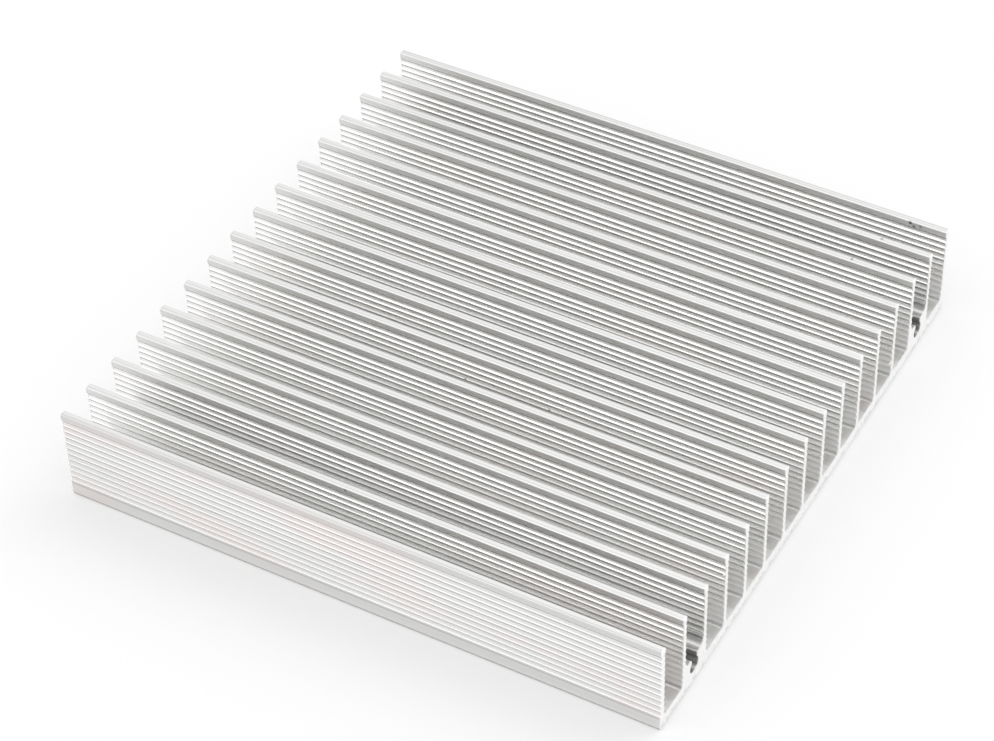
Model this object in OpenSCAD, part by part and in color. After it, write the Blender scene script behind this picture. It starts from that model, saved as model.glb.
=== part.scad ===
// Extruded aluminium heat sink: a flat base, a row of upright fins with fine ribs along both of
// their faces, and a pair of C-shaped screw ports that run the full length.
// It is one extrusion, cut to length. The section lies in the Y-Z plane and runs along X.
// The origin is at the middle of the underside, and +Z points up through the fins.

/* [Overall size] */
// Length of the cut piece, along the fins
length = 90; // [30:1:300]
// Width across all the fins
width = 90; // [75:1:120]
// Height from the underside to the fin tips
height = 15; // [12:0.5:40]

/* [Base] */
// Thickness of the base under the gaps
base_t = 2; // [1.5:0.1:5]
// Round along the base's two lower edges
edge_r = 0.2; // [0.1:0.05:1]
// Chamfer filed on the underside where the piece was cut off
cut_break = 0.4; // [0.1:0.05:1]

/* [Fins] */
// Number of fins
fin_count = 16; // [10:1:18]
// Thickness of a fin over its rib crests
fin_t = 1; // [0.8:0.05:1.6]
// Round on each edge of a fin's tip
tip_r = 0.15; // [0.1:0.05:0.4]
// Fillet where a fin meets the base
root_r = 0.4; // [0.1:0.05:0.5]

/* [Ribs on the fin faces] */
// Distance from one rib to the next
rib_pitch = 1.045; // [0.95:0.005:2]
// Width of the round groove between two ribs
groove_w = 0.9; // [0.5:0.05:0.95]
// Depth of the groove
groove_depth = 0.2; // [0.05:0.01:0.25]
// Plain band between the fin tip and the top groove
tip_band = 1; // [0.5:0.05:3]
// Least plain band between the gap floor and the bottom groove
root_band = 0.5; // [0.5:0.05:3]

/* [Screw ports] */
// Gap that holds a screw port, counted from each side
port_gap = 2; // [1:1:4]
// Bore of the port
port_d = 2.4; // [2.2:0.1:3]
// Width of the slot that opens the port upwards
port_mouth = 1.6; // [0.8:0.1:2.1]
// Height of the port's lips above the bore's axis
port_lip = 1.6; // [1.3:0.1:3]
// Sweep from the top of the port's wall up to the fin beside it
port_sweep_r = 1.2; // [0.2:0.05:2]
// Round on the edge of each lip
lip_r = 0.2; // [0.05:0.05:0.2]

/* [Hidden] */
$fn = 48;
aluminium = [0.78, 0.78, 0.77];
over = 1; // how far a cutter reaches past what it cuts
bite = groove_depth + 0.1; // how far a fillet reaches into the walls that it joins
foot_z = base_t / 2; // what stands on the base starts here, inside it

fin_pitch = (width - fin_t) / (fin_count - 1);
gap_w = fin_pitch - fin_t;
port_z = base_t + port_d / 2;
port_top = port_z + port_lip;
sweep_r = min(port_sweep_r, (gap_w - port_mouth) / 2 - lip_r); // it ends where the lip's round starts
port_gaps = [port_gap, fin_count - port_gap];

// A groove is an arc whose chord is groove_w and whose rise is groove_depth.
groove_r = (groove_w * groove_w / 4 + groove_depth * groove_depth) / (2 * groove_depth);
top_groove_z = height - tip_band - groove_w / 2;
low_groove_z = base_t + root_band + groove_w / 2;
groove_count = floor((top_groove_z - low_groove_z) / rib_pitch) + 1;

// Middle of fin i, counted from 0 at the -Y side.
function fin_y(i) = -width / 2 + fin_t / 2 + i * fin_pitch;
// Middle of gap g, counted from 1. The fins count from 0, so it lies between fins g - 1 and g.
function gap_y(g) = fin_y(g) - fin_pitch / 2;

// Both sides of a shape that is symmetric about the Y axis of its own drawing.
module both_sides() {
    children();
    mirror([1, 0]) children();
}

// What a round of radius r leaves of a square corner. The corner is at the origin.
// Added in an inner corner it is a fillet, and taken from an outer corner it is a round.
module corner_web(r) {
    difference() {
        translate([-bite, -bite]) square(r + bite);
        translate([r, r]) circle(r);
    }
}

module base_section() {
    difference() {
        translate([-width / 2, 0]) square([width, base_t]);
        both_sides() translate([-width / 2, 0]) corner_web(edge_r);
    }
}

module fin_section() {
    difference() {
        translate([-fin_t / 2, foot_z]) square([fin_t, height - foot_z]);
        both_sides() translate([-fin_t / 2, height]) mirror([0, 1]) corner_web(tip_r);
        both_sides() for (i = [0 : groove_count - 1])
            translate([fin_t / 2 - groove_depth + groove_r, top_groove_z - i * rib_pitch])
                circle(groove_r);
    }
}

module root_fillet_section() {
    both_sides() translate([-gap_w / 2, base_t]) corner_web(root_r);
}

// The port's wall reaches to the middle of the fins beside it, so it closes their lower grooves.
module port_wall_section() {
    translate([-fin_pitch / 2, foot_z]) square([fin_pitch, port_top - foot_z]);
    both_sides() translate([-gap_w / 2, port_top]) corner_web(sweep_r);
}

module port_bore_section() {
    translate([0, port_z]) circle(d = port_d);
    translate([-port_mouth / 2, port_z]) square([port_mouth, port_lip + over]);
    both_sides() translate([port_mouth / 2, port_top]) mirror([0, 1]) corner_web(lip_r);
}

module heat_sink_section() {
    difference() {
        union() {
            base_section();
            for (i = [0 : fin_count - 1]) translate([fin_y(i), 0]) fin_section();
            for (g = [1 : fin_count - 1]) translate([gap_y(g), 0]) root_fillet_section();
            for (g = port_gaps) translate([gap_y(g), 0]) port_wall_section();
        }
        for (g = port_gaps) translate([gap_y(g), 0]) port_bore_section();
    }
}

// Cutter for the filed edge under one cut end, at x = 0 with the piece on its -X side.
module cut_break_cutter() {
    rotate([90, 0, 0]) linear_extrude(width + 2 * over, center = true)
        polygon([[-cut_break - over, -over], [over, -over], [over, cut_break + over]]);
}

module heat_sink() {
    color(aluminium) difference() {
        rotate([90, 0, 90]) linear_extrude(length, center = true) heat_sink_section();
        translate([length / 2, 0, 0]) cut_break_cutter();
        mirror([1, 0, 0]) translate([length / 2, 0, 0]) cut_break_cutter();
    }
}

heat_sink();
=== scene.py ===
import math
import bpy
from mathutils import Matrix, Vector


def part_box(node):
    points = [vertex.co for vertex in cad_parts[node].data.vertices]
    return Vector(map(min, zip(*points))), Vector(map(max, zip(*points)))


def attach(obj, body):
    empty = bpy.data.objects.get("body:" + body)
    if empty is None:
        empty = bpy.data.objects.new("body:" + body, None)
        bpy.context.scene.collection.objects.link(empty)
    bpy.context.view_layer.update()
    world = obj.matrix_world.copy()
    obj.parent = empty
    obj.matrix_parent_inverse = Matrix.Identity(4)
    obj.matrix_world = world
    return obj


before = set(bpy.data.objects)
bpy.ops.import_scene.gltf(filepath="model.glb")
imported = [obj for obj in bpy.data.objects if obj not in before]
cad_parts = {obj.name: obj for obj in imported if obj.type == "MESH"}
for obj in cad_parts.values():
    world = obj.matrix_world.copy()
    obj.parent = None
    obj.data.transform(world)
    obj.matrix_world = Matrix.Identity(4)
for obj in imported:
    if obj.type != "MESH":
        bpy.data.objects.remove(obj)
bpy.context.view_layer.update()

from types import SimpleNamespace

import bmesh
import bpy
from mathutils import Matrix, Vector

MM = 0.001

# The heat sink's own sizes, in metres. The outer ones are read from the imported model.
LOW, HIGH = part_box("heat_sink")
HALF_LENGTH = HIGH.x
HALF_WIDTH = HIGH.y
HEIGHT = HIGH.z
BASE_T = 2.0 * MM
EDGE_R = 0.2 * MM  # round along the two lower edges
CUT_BREAK = 0.4 * MM  # chamfer under the two cut ends
END_DEPTH = 0.12 * MM  # the cut faces, and the burrs on them, lie within this of each end
SIDE_DEPTH = 0.25 * MM  # the two side faces lie within this depth, grooves included

# Fins
FIN_COUNT = 16
FIN_T = 1.0 * MM
FIN_PITCH = (2 * HALF_WIDTH - FIN_T) / (FIN_COUNT - 1)
ROOT_R = 0.4 * MM  # fillet where a fin meets the base
TIP_Z = HEIGHT - 0.12 * MM  # the fins' top faces lie above this

# Ribs on the fin faces
GROOVE_COUNT = 11
GROOVE_W = 0.9 * MM
RIB_PITCH = 1.045 * MM
TIP_BAND = 1.0 * MM  # plain band between the fin tip and the top groove
RIBS_TOP = HEIGHT - TIP_BAND - 0.5 * GROOVE_W + 0.5 * RIB_PITCH  # the crest above the top groove
RIBS_FOOT = RIBS_TOP - GROOVE_COUNT * RIB_PITCH
RIB_SWELL = 0.026 * MM  # how far the bump wave on the ribs rises and falls
GROOVE_LEAN = 0.3  # how far the painted shade on the upper flank reaches below the middle of its groove, in radians

# Screw ports, in the second gap from each side
PORT_R = 1.2 * MM
PORT_LIP = 1.6 * MM  # height of the lips above the axis
PORT_SWEEP_R = 1.2 * MM
PORT_Y = HALF_WIDTH - 0.5 * FIN_T - 1.5 * FIN_PITCH
PORT_Z = BASE_T + PORT_R
PORT_TOP = PORT_Z + PORT_LIP + PORT_SWEEP_R  # where the sweep beside each port meets the fin

# Small dark nicks in the metal: fin counted from 1 at -Y, distance along X and depth below the tip in mm,
# radius in mm. Those at no depth are on the tip, the others on the -Y face of the fin.
NICKS = [(2, -39.2, 3.3, 0.34), (16, 39.4, 0.3, 0.34), (16, 40.0, 0.75, 0.30), (16, 41.0, 0.4, 0.30),
         (15, 37.4, 0.0, 0.26), (14, 35.4, 0.0, 0.24), (2, -4.2, 0.3, 0.26), (7, -3.3, 5.0, 0.22),
         (7, 9.8, 5.0, 0.22)]

# Tones of the aluminium
DRAWN_TONES = ((0.88, 0.88, 0.87, 1), (0.925, 0.925, 0.915, 1))
DRAWN_WARM = (0.92, 0.885, 0.875, 1)
SIDE_TONES = ((0.76, 0.757, 0.752, 1), (0.82, 0.817, 0.81, 1))
SIDE_WARM = (0.81, 0.765, 0.755, 1)
# painted light on the fin tips and the +Y faces of the fins
PAINTED_LIGHT_TONE = (0.98, 0.98, 0.975, 1)
# painted shade on the downward-facing upper flank of each groove
SHADED_FLANK = (0.42, 0.42, 0.41, 1)
# painted shade along the +Y edge of every fin tip
SHADED_TIP_EDGE = (0.45, 0.45, 0.44, 1)
SHADED_ROOT = (0.50, 0.50, 0.495, 1)
# painted shade inside the screw ports
PORT_SHADE_GREY = (0.30, 0.29, 0.285, 1)
NICK_DARK = (0.16, 0.15, 0.145, 1)
SAWN_TONES = ((0.93, 0.93, 0.92, 1), (1.0, 1.0, 1.0, 1))
TORN = (0.66, 0.66, 0.655, 1)
# painted shade along the underside edges, and darker along the -X ends of the fin faces
DARKENED_EDGE = (0.30, 0.295, 0.29, 1)

scene = bpy.context.scene
scene.view_settings.view_transform = "Standard"


# ---------------------------------------------------------------- camera

def add_camera(eye, aim, roll_deg, lens, shift_x):
    """A camera at eye that looks at aim, turned about its own line of sight."""
    data = bpy.data.cameras.new("camera")
    data.lens = lens
    data.shift_x = shift_x
    data.clip_start = 0.01
    camera = bpy.data.objects.new("camera", data)
    scene.collection.objects.link(camera)
    facing = (Vector(aim) - Vector(eye)).to_track_quat("-Z", "Y").to_matrix().to_4x4()
    camera.matrix_world = Matrix.Translation(eye) @ facing @ Matrix.Rotation(math.radians(roll_deg), 4, "Z")
    scene.camera = camera


add_camera(eye=(0.15272, -0.26482, 0.29446), aim=(0.00855, 0.00177, 0.0075), roll_deg=-0.46, lens=108.97,
           shift_x=-0.0835)


# ---------------------------------------------------------------- helpers

class Nodes:
    """Short calls for building a node tree."""

    def __init__(self, tree):
        self.tree = tree
        tree.nodes.clear()

    def add(self, kind, inputs=None, **settings):
        made = self.tree.nodes.new(kind)
        for name, value in settings.items():
            setattr(made, name, value)
        for socket, value in (inputs or {}).items():
            self.feed(made.inputs[socket], value)
        return made

    def feed(self, socket, value):
        if isinstance(value, bpy.types.NodeSocket):
            self.tree.links.new(value, socket)
        else:
            socket.default_value = value

    def math(self, operation, a, b=0.0, c=0.0):
        made = self.add("ShaderNodeMath", operation=operation)
        for socket, value in zip(made.inputs, (a, b, c)):
            self.feed(socket, value)
        return made.outputs[0]

    def absolute(self, value):
        return self.math("ABSOLUTE", value)

    def above(self, value, limit):
        """1 where value is above limit, and 0 elsewhere."""
        return self.math("GREATER_THAN", value, limit)

    def opposite(self, value):
        """1 where value is 0, and 0 where it is 1."""
        return self.math("SUBTRACT", 1.0, value)

    def larger(self, a, b):
        return self.math("MAXIMUM", a, b)

    def product(self, first, *others):
        for other in others:
            first = self.math("MULTIPLY", first, other)
        return first

    def spread(self, value, low, high, to_low=0.0, to_high=1.0):
        """value from low..high carried over to to_low..to_high, and held at the ends."""
        made = self.add("ShaderNodeMapRange", {0: value, 1: low, 2: high, 3: to_low, 4: to_high})
        return made.outputs[0]

    def mix_color(self, factor, a, b):
        made = self.add("ShaderNodeMix", {0: factor, 6: a, 7: b}, data_type="RGBA")
        return made.outputs[2]

    def noise(self, vector, scale=1.0, detail=2.0):
        made = self.add("ShaderNodeTexNoise", {"Vector": vector, "Scale": scale, "Detail": detail})
        return made.outputs["Fac"]

    def stretched(self, vector, scale, turn=(0.0, 0.0, 0.0)):
        made = self.add("ShaderNodeMapping", {"Vector": vector, "Scale": scale, "Rotation": turn})
        return made.outputs[0]


def new_material(name):
    material = bpy.data.materials.new(name)
    material.use_nodes = True
    return material, Nodes(material.node_tree)


def make_object(name, bm, material):
    """An object of its own from a finished bmesh."""
    mesh = bpy.data.meshes.new(name)
    bm.to_mesh(mesh)
    bm.free()
    mesh.materials.append(material)
    made = bpy.data.objects.new(name, mesh)
    scene.collection.objects.link(made)
    return made


# ---------------------------------------------------------------- where a point lies on the heat sink

def fin_offset(n, y):
    """Distance along Y from the middle of the nearest fin."""
    step = n.math("ADD", y, HALF_WIDTH - 0.5 * FIN_T)
    return n.math("WRAP", step, 0.5 * FIN_PITCH, -0.5 * FIN_PITCH)


def port_gap(n, from_port):
    """1 between the two fins beside a screw port, and 0 elsewhere."""
    inside_fin = 0.5 * FIN_PITCH - 0.4 * FIN_T
    return n.spread(n.absolute(from_port), inside_fin, inside_fin + 0.2 * FIN_T, 1.0, 0.0)


def rib_turn(n, z):
    """The angle, in radians, of a wave with one turn to each rib, held above and below the ribs."""
    return n.spread(z, RIBS_FOOT, RIBS_TOP, -2 * math.pi * GROOVE_COUNT, 0.0)


def rib_wear(n, at):
    """How strongly the ribs show: 1 near the fin tips, less towards the roots, and 0 beside the ports. It
    scales the rib bump and the painted shade on the groove flanks.
    """
    depth = n.spread(at.z, 0.30 * HEIGHT, 0.60 * HEIGHT, 0.25, 1.0)
    over_port = n.spread(at.z, PORT_TOP, PORT_TOP + 0.2 * MM)
    return n.product(depth, n.larger(n.opposite(at.in_port_gap), over_port))


def read_places(n):
    """Where a point lies, and the noises that more than one part of the finish follows."""
    place = n.add("ShaderNodeTexCoord").outputs["Object"]
    x, y, z = n.add("ShaderNodeSeparateXYZ", {0: place}).outputs[:3]
    at = SimpleNamespace(place=place, x=x, y=y, z=z)
    at.on_cut = n.above(n.absolute(x), HALF_LENGTH - END_DEPTH)
    at.on_side = n.above(n.absolute(y), HALF_WIDTH - SIDE_DEPTH)
    at.on_tip = n.above(z, TIP_Z)
    at.from_fin = fin_offset(n, y)
    at.from_port = n.math("SUBTRACT", n.absolute(y), PORT_Y)
    at.in_port_gap = port_gap(n, at.from_port)
    at.turn = rib_turn(n, z)
    at.wear = rib_wear(n, at)
    at.grain = n.noise(place, scale=2600.0)
    # Die lines run along X. Saw marks lean across the cut ends.
    at.die_lines = n.noise(n.stretched(place, (12.0, 5000.0, 5000.0)), detail=3.0)
    at.saw_marks = n.noise(n.stretched(place, (1.0, 2500.0, 260.0), (0.5, 0.0, 0.0)), detail=3.0)
    return at


# ---------------------------------------------------------------- aluminium

def groove_shade(n, at):
    """How much painted shade falls on the downward-facing upper flank of each groove: less on the +Y faces
    of the fins and on the two sides.
    """
    flank = n.spread(n.math("SINE", n.math("SUBTRACT", at.turn, GROOVE_LEAN)), 0.4, -0.9)
    facing = n.spread(at.from_fin, -0.1 * FIN_T, 0.1 * FIN_T, 1.0, 0.1)
    return n.product(flank, facing, at.wear, n.spread(at.on_side, 0.0, 1.0, 0.58, 0.45))


def tip_shade(n, at):
    """Painted shade: 1 at the +Y edge of every fin's tip, down to 0 at the middle of the tip."""
    return n.product(at.on_tip, n.spread(at.from_fin, -0.05 * FIN_T, 0.48 * FIN_T))


def root_shade(n, at):
    """1 in the fillets at the fin roots and on the walls and sweeps of the screw ports, 0 elsewhere."""
    over_floor = n.spread(at.z, BASE_T + 0.01 * MM, BASE_T + 0.05 * MM)
    fillet_top = BASE_T + ROOT_R
    fillet = n.product(over_floor, n.spread(at.z, fillet_top - 0.1 * MM, fillet_top + 0.05 * MM, 1.0, 0.0))
    under_top = n.spread(at.z, PORT_TOP, PORT_TOP + 0.1 * MM, 1.0, 0.0)
    sweep = n.product(at.in_port_gap, under_top, n.above(at.z, BASE_T))
    return n.larger(fillet, sweep)


def port_shade(n, at):
    """Painted shade: 1 inside the two screw ports, and 0 outside."""
    up = n.math("SUBTRACT", at.z, PORT_Z)
    squares = n.math("ADD", n.product(at.from_port, at.from_port), n.product(up, up))
    return n.spread(n.math("SQRT", squares), PORT_R + 0.02 * MM, PORT_R + 0.3 * MM, 1.0, 0.0)


def nick_shade(n, at):
    """Up to 1 in the nicks, and patchy with the grain."""
    deepest = 0.0
    for fin, along, depth, radius in NICKS:
        y = 0.5 * FIN_T - HALF_WIDTH + (fin - 1) * FIN_PITCH
        if depth > 0.0:
            y -= 0.5 * FIN_T
        middle = (along * MM, y, HEIGHT - depth * MM)
        far = n.add("ShaderNodeVectorMath", {0: at.place, 1: middle}, operation="DISTANCE").outputs["Value"]
        deepest = n.larger(deepest, n.spread(far, 0.4 * radius * MM, 1.1 * radius * MM, 1.0, 0.0))
    return n.product(deepest, n.spread(at.grain, 0.35, 0.6, 0.4, 1.0))


def edge_shade(n, at):
    """How dark the broken edges are: painted shade around the underside, where the base meets the table, and
    darker along the -X ends of the fin faces.
    """
    low = n.spread(at.z, CUT_BREAK - 0.1 * MM, CUT_BREAK + 0.05 * MM, 1.0, 0.0)
    chamfer = HALF_LENGTH - CUT_BREAK
    near_end = n.spread(n.absolute(at.x), chamfer - 0.1 * MM, chamfer)
    rounding = HALF_WIDTH - EDGE_R
    near_side = n.spread(n.absolute(at.y), rounding - 0.1 * MM, rounding)
    under_shade = n.product(low, n.larger(near_end, near_side))
    end = n.spread(at.x, END_DEPTH - HALF_LENGTH, 0.25 * MM - HALF_LENGTH, 0.7, 0.0)
    end = n.product(end, n.opposite(at.on_cut))
    return n.product(n.larger(under_shade, end), n.spread(at.grain, 0.35, 0.6, 0.6, 1.0))


def drawn_color(n, at):
    """The drawn metal without its marks: streaked, with warm patches, darker on the two sides, and with
    painted light on the fin tips and the +Y faces of the fins.
    """
    streaks = n.noise(n.stretched(at.place, (6.0, 900.0, 900.0)))
    cloud = n.noise(n.stretched(at.place, (45.0, 140.0, 140.0)), detail=3.0)
    tone = n.spread(streaks, 0.3, 0.7)
    patch = n.spread(cloud, 0.48, 0.62)
    inner = n.mix_color(n.product(patch, 0.5), n.mix_color(tone, *DRAWN_TONES), DRAWN_WARM)
    side = n.mix_color(patch, n.mix_color(tone, *SIDE_TONES), SIDE_WARM)
    # Painted light: the tips and the +Y faces of the fins are made paler.
    painted_light = n.larger(n.spread(at.from_fin, 0.1 * FIN_T, 0.3 * FIN_T), at.on_tip)
    painted_light = n.product(painted_light, n.spread(at.z, 0.5 * BASE_T, BASE_T, 0.0, 0.8))
    return n.mix_color(at.on_side, n.mix_color(painted_light, inner, PAINTED_LIGHT_TONE), side)


def marked_color(n, at):
    """The drawn metal with its nicks, and with painted shade on the groove flanks, at the +Y edges of the
    fin tips, in the fin roots and in the screw ports.
    """
    skin = n.mix_color(groove_shade(n, at), drawn_color(n, at), SHADED_FLANK)
    skin = n.mix_color(n.product(tip_shade(n, at), 0.35), skin, SHADED_TIP_EDGE)
    skin = n.mix_color(n.product(root_shade(n, at), 0.6), skin, SHADED_ROOT)
    skin = n.mix_color(n.product(port_shade(n, at), 0.4), skin, PORT_SHADE_GREY)
    return n.mix_color(nick_shade(n, at), skin, NICK_DARK)


def sawn_color(n, at):
    """The cut ends: bright, with spots where the saw tore the metal, most of them near the underside."""
    spots = n.spread(n.noise(at.place, scale=1300.0, detail=3.0), 0.5, 0.6)
    torn = n.product(spots, n.spread(at.z, 0.4 * MM, 1.3 * MM, 0.7, 0.1))
    return n.mix_color(torn, n.mix_color(at.saw_marks, *SAWN_TONES), TORN)


def metal_roughness(n, at):
    """Smooth along the ribs, and rougher on the cut ends, on the tip band and deep in the gaps."""
    drawn = n.spread(at.die_lines, 0.3, 0.7, 0.18, 0.26)
    tip_band = n.spread(at.z, RIBS_TOP, RIBS_TOP + 0.05 * RIB_PITCH, 0.0, 0.16)
    deep = n.product(n.spread(at.z, 0.25 * HEIGHT, 0.55 * HEIGHT, 0.16, 0.0), n.opposite(at.on_side))
    rougher = n.math("ADD", n.product(at.on_cut, 0.2), n.larger(tip_band, deep))
    return n.math("ADD", drawn, rougher)


def metal_relief(n, at):
    """Die lines and saw marks, and over them a wave that lets the ribs shine as if rounder than drawn."""
    drawn = n.product(at.die_lines, n.opposite(at.on_cut))
    lines = n.math("ADD", drawn, n.product(at.saw_marks, at.on_cut))
    fine = n.add("ShaderNodeBump", {"Strength": 0.3, "Distance": 0.015 * MM, "Height": lines})
    strength = n.product(at.wear, n.spread(at.on_side, 0.0, 1.0, 1.0, 0.4), n.opposite(at.on_cut))
    swell = n.product(n.math("COSINE", at.turn), strength)
    ribs = n.add("ShaderNodeBump", {"Strength": 1.0, "Distance": RIB_SWELL, "Height": swell,
                                    "Normal": fine.outputs[0]})
    return ribs.outputs[0]


def mill_aluminium():
    """Extruded aluminium as it leaves the die, with saw-cut ends."""
    material, n = new_material("mill_aluminium")
    at = read_places(n)
    metal = n.mix_color(at.on_cut, marked_color(n, at), sawn_color(n, at))
    metal = n.mix_color(n.product(edge_shade(n, at), 0.7), metal, DARKENED_EDGE)
    shader = n.add("ShaderNodeBsdfPrincipled", {
        "Base Color": metal, "Metallic": 1.0, "Roughness": metal_roughness(n, at),
        "Normal": metal_relief(n, at)})
    n.add("ShaderNodeOutputMaterial", {"Surface": shader.outputs[0]})
    return material


aluminium = mill_aluminium()
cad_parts["heat_sink"].material_slots[0].material = aluminium


# ---------------------------------------------------------------- burrs

# Each pair holds a burr's size at its root and at its tip.
BURR_THICKNESS = (0.07 * MM, 0.04 * MM)
BURR_WIDTH = (0.40 * MM, 0.14 * MM)
BURR_INSET = (0.055 * MM, 0.09 * MM)  # from the cut face back to the middle of the burr
BURR_SUNK = 0.04 * MM  # how deep the root sits in the fin
BURR_ROUND = 0.008 * MM
BURR_STEPS = 5
UNIT_SQUARE = ((0.5, 0, -0.5), (0.5, 0, 0.5), (-0.5, 0, 0.5), (-0.5, 0, -0.5))


def tapered(pair, share):
    return pair[0] + share * (pair[1] - pair[0])


def burr_section(fin, z, reach, lift, share):
    """Carries the unit square to the burr's section at this share of its way from root to tip."""
    face_y = (fin - 1) * FIN_PITCH - HALF_WIDTH
    middle = (HALF_LENGTH - tapered(BURR_INSET, share), face_y + BURR_SUNK - share * reach,
              z + share * share * lift)
    stretch = (tapered(BURR_THICKNESS, share), 1.0, tapered(BURR_WIDTH, share), 1.0)
    return Matrix.Translation(middle) @ Matrix.Diagonal(stretch)


def add_burr(name, fin, z, reach, lift):
    """A bent sliver that the saw left standing on the +X edge of a fin's -Y face, tapered to its tip."""
    sections = [burr_section(fin, z, reach, lift, step / BURR_STEPS) for step in range(BURR_STEPS + 1)]
    bm = bmesh.new()
    ring = [bm.verts.new(sections[0] @ Vector(corner)) for corner in UNIT_SQUARE]
    edges = [bm.edges.new((ring[i - 1], ring[i])) for i in range(4)]
    for near, far in zip(sections, sections[1:]):
        grown = bmesh.ops.extrude_edge_only(bm, edges=edges)["geom"]
        ring = [part for part in grown if isinstance(part, bmesh.types.BMVert)]
        edges = [part for part in grown if isinstance(part, bmesh.types.BMEdge)]
        bmesh.ops.transform(bm, matrix=far @ near.inverted(), verts=ring)
    bmesh.ops.holes_fill(bm, edges=bm.edges[:], sides=4)
    bmesh.ops.recalc_face_normals(bm, faces=bm.faces[:])
    bmesh.ops.bevel(bm, geom=bm.edges[:], offset=BURR_ROUND, offset_type="OFFSET", affect="EDGES",
                    segments=2, profile=0.5, material=-1)
    burr = make_object(name, bm, aluminium)
    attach(burr, "root")


add_burr("burr_low", fin=13, z=4.5 * MM, reach=0.80 * MM, lift=0.50 * MM)
add_burr("burr_high", fin=4, z=12.1 * MM, reach=0.60 * MM, lift=0.35 * MM)


# ---------------------------------------------------------------- stage

TABLE_HALF = 3.0
TABLE_GAP = 0.02 * MM  # keeps the table just clear of the underside


def glossy_or_camera(n):
    """1 for rays from the camera and those that metal reflects or glass lets through, and 0 for the rest."""
    path = n.add("ShaderNodeLightPath")
    seen = n.larger(path.outputs["Is Camera Ray"], path.outputs["Is Glossy Ray"])
    return n.larger(seen, path.outputs["Is Transmission Ray"])


def white_table():
    """White paper that shows as nearly pure white and still takes a faint shadow."""
    material, n = new_material("white_table")
    paper = n.add("ShaderNodeBsdfDiffuse", {"Color": (0.82, 0.82, 0.82, 1)})
    glow = n.add("ShaderNodeEmission", {"Color": (1, 1, 1, 1), "Strength": 1.0})
    lift = n.product(glossy_or_camera(n), 0.4)
    both = n.add("ShaderNodeMixShader", {0: lift, 1: paper.outputs[0], 2: glow.outputs[0]})
    n.add("ShaderNodeOutputMaterial", {"Surface": both.outputs[0]})
    return material


def add_table():
    bm = bmesh.new()
    bmesh.ops.create_grid(bm, x_segments=1, y_segments=1, size=TABLE_HALF)
    table = make_object("table", bm, white_table())
    table.location.z = LOW.z - TABLE_GAP


def add_softbox(name, place, size, power):
    """A rectangular lamp at place that faces the middle of the heat sink's underside."""
    data = bpy.data.lights.new(name, "AREA")
    data.shape = "RECTANGLE"
    data.size, data.size_y = size
    data.energy = power
    lamp = bpy.data.objects.new(name, data)
    lamp.location = place
    lamp.rotation_euler = (-Vector(place)).to_track_quat("-Z", "Y").to_euler()
    scene.collection.objects.link(lamp)


def light_the_room(front, back):
    """An even white room, a little brighter at the front (-Y) than at the back."""
    world = bpy.data.worlds.new("studio")
    scene.world = world
    world.use_nodes = True
    n = Nodes(world.node_tree)
    heading = n.add("ShaderNodeSeparateXYZ", {0: n.add("ShaderNodeTexCoord").outputs["Generated"]})
    level = n.spread(heading.outputs[1], -1.0, 1.0, front, back)
    sky = n.add("ShaderNodeBackground", {"Color": (1, 1, 1, 1), "Strength": level})
    n.add("ShaderNodeOutputWorld", {"Surface": sky.outputs[0]})


add_table()
light_the_room(front=1.0, back=0.85)
add_softbox("overhead", place=(0.0, 0.0, 1.4), size=(1.4, 1.4), power=2.0)
add_softbox("back_right", place=(0.45, 0.65, 1.0), size=(0.8, 0.8), power=4.0)
add_softbox("front_left", place=(-0.48, -0.84, 1.15), size=(0.9, 1.3), power=2.6)

# Light goes from fin to fin many times before it leaves a gap.
scene.cycles.glossy_bounces = 12
scene.cycles.max_bounces = 14
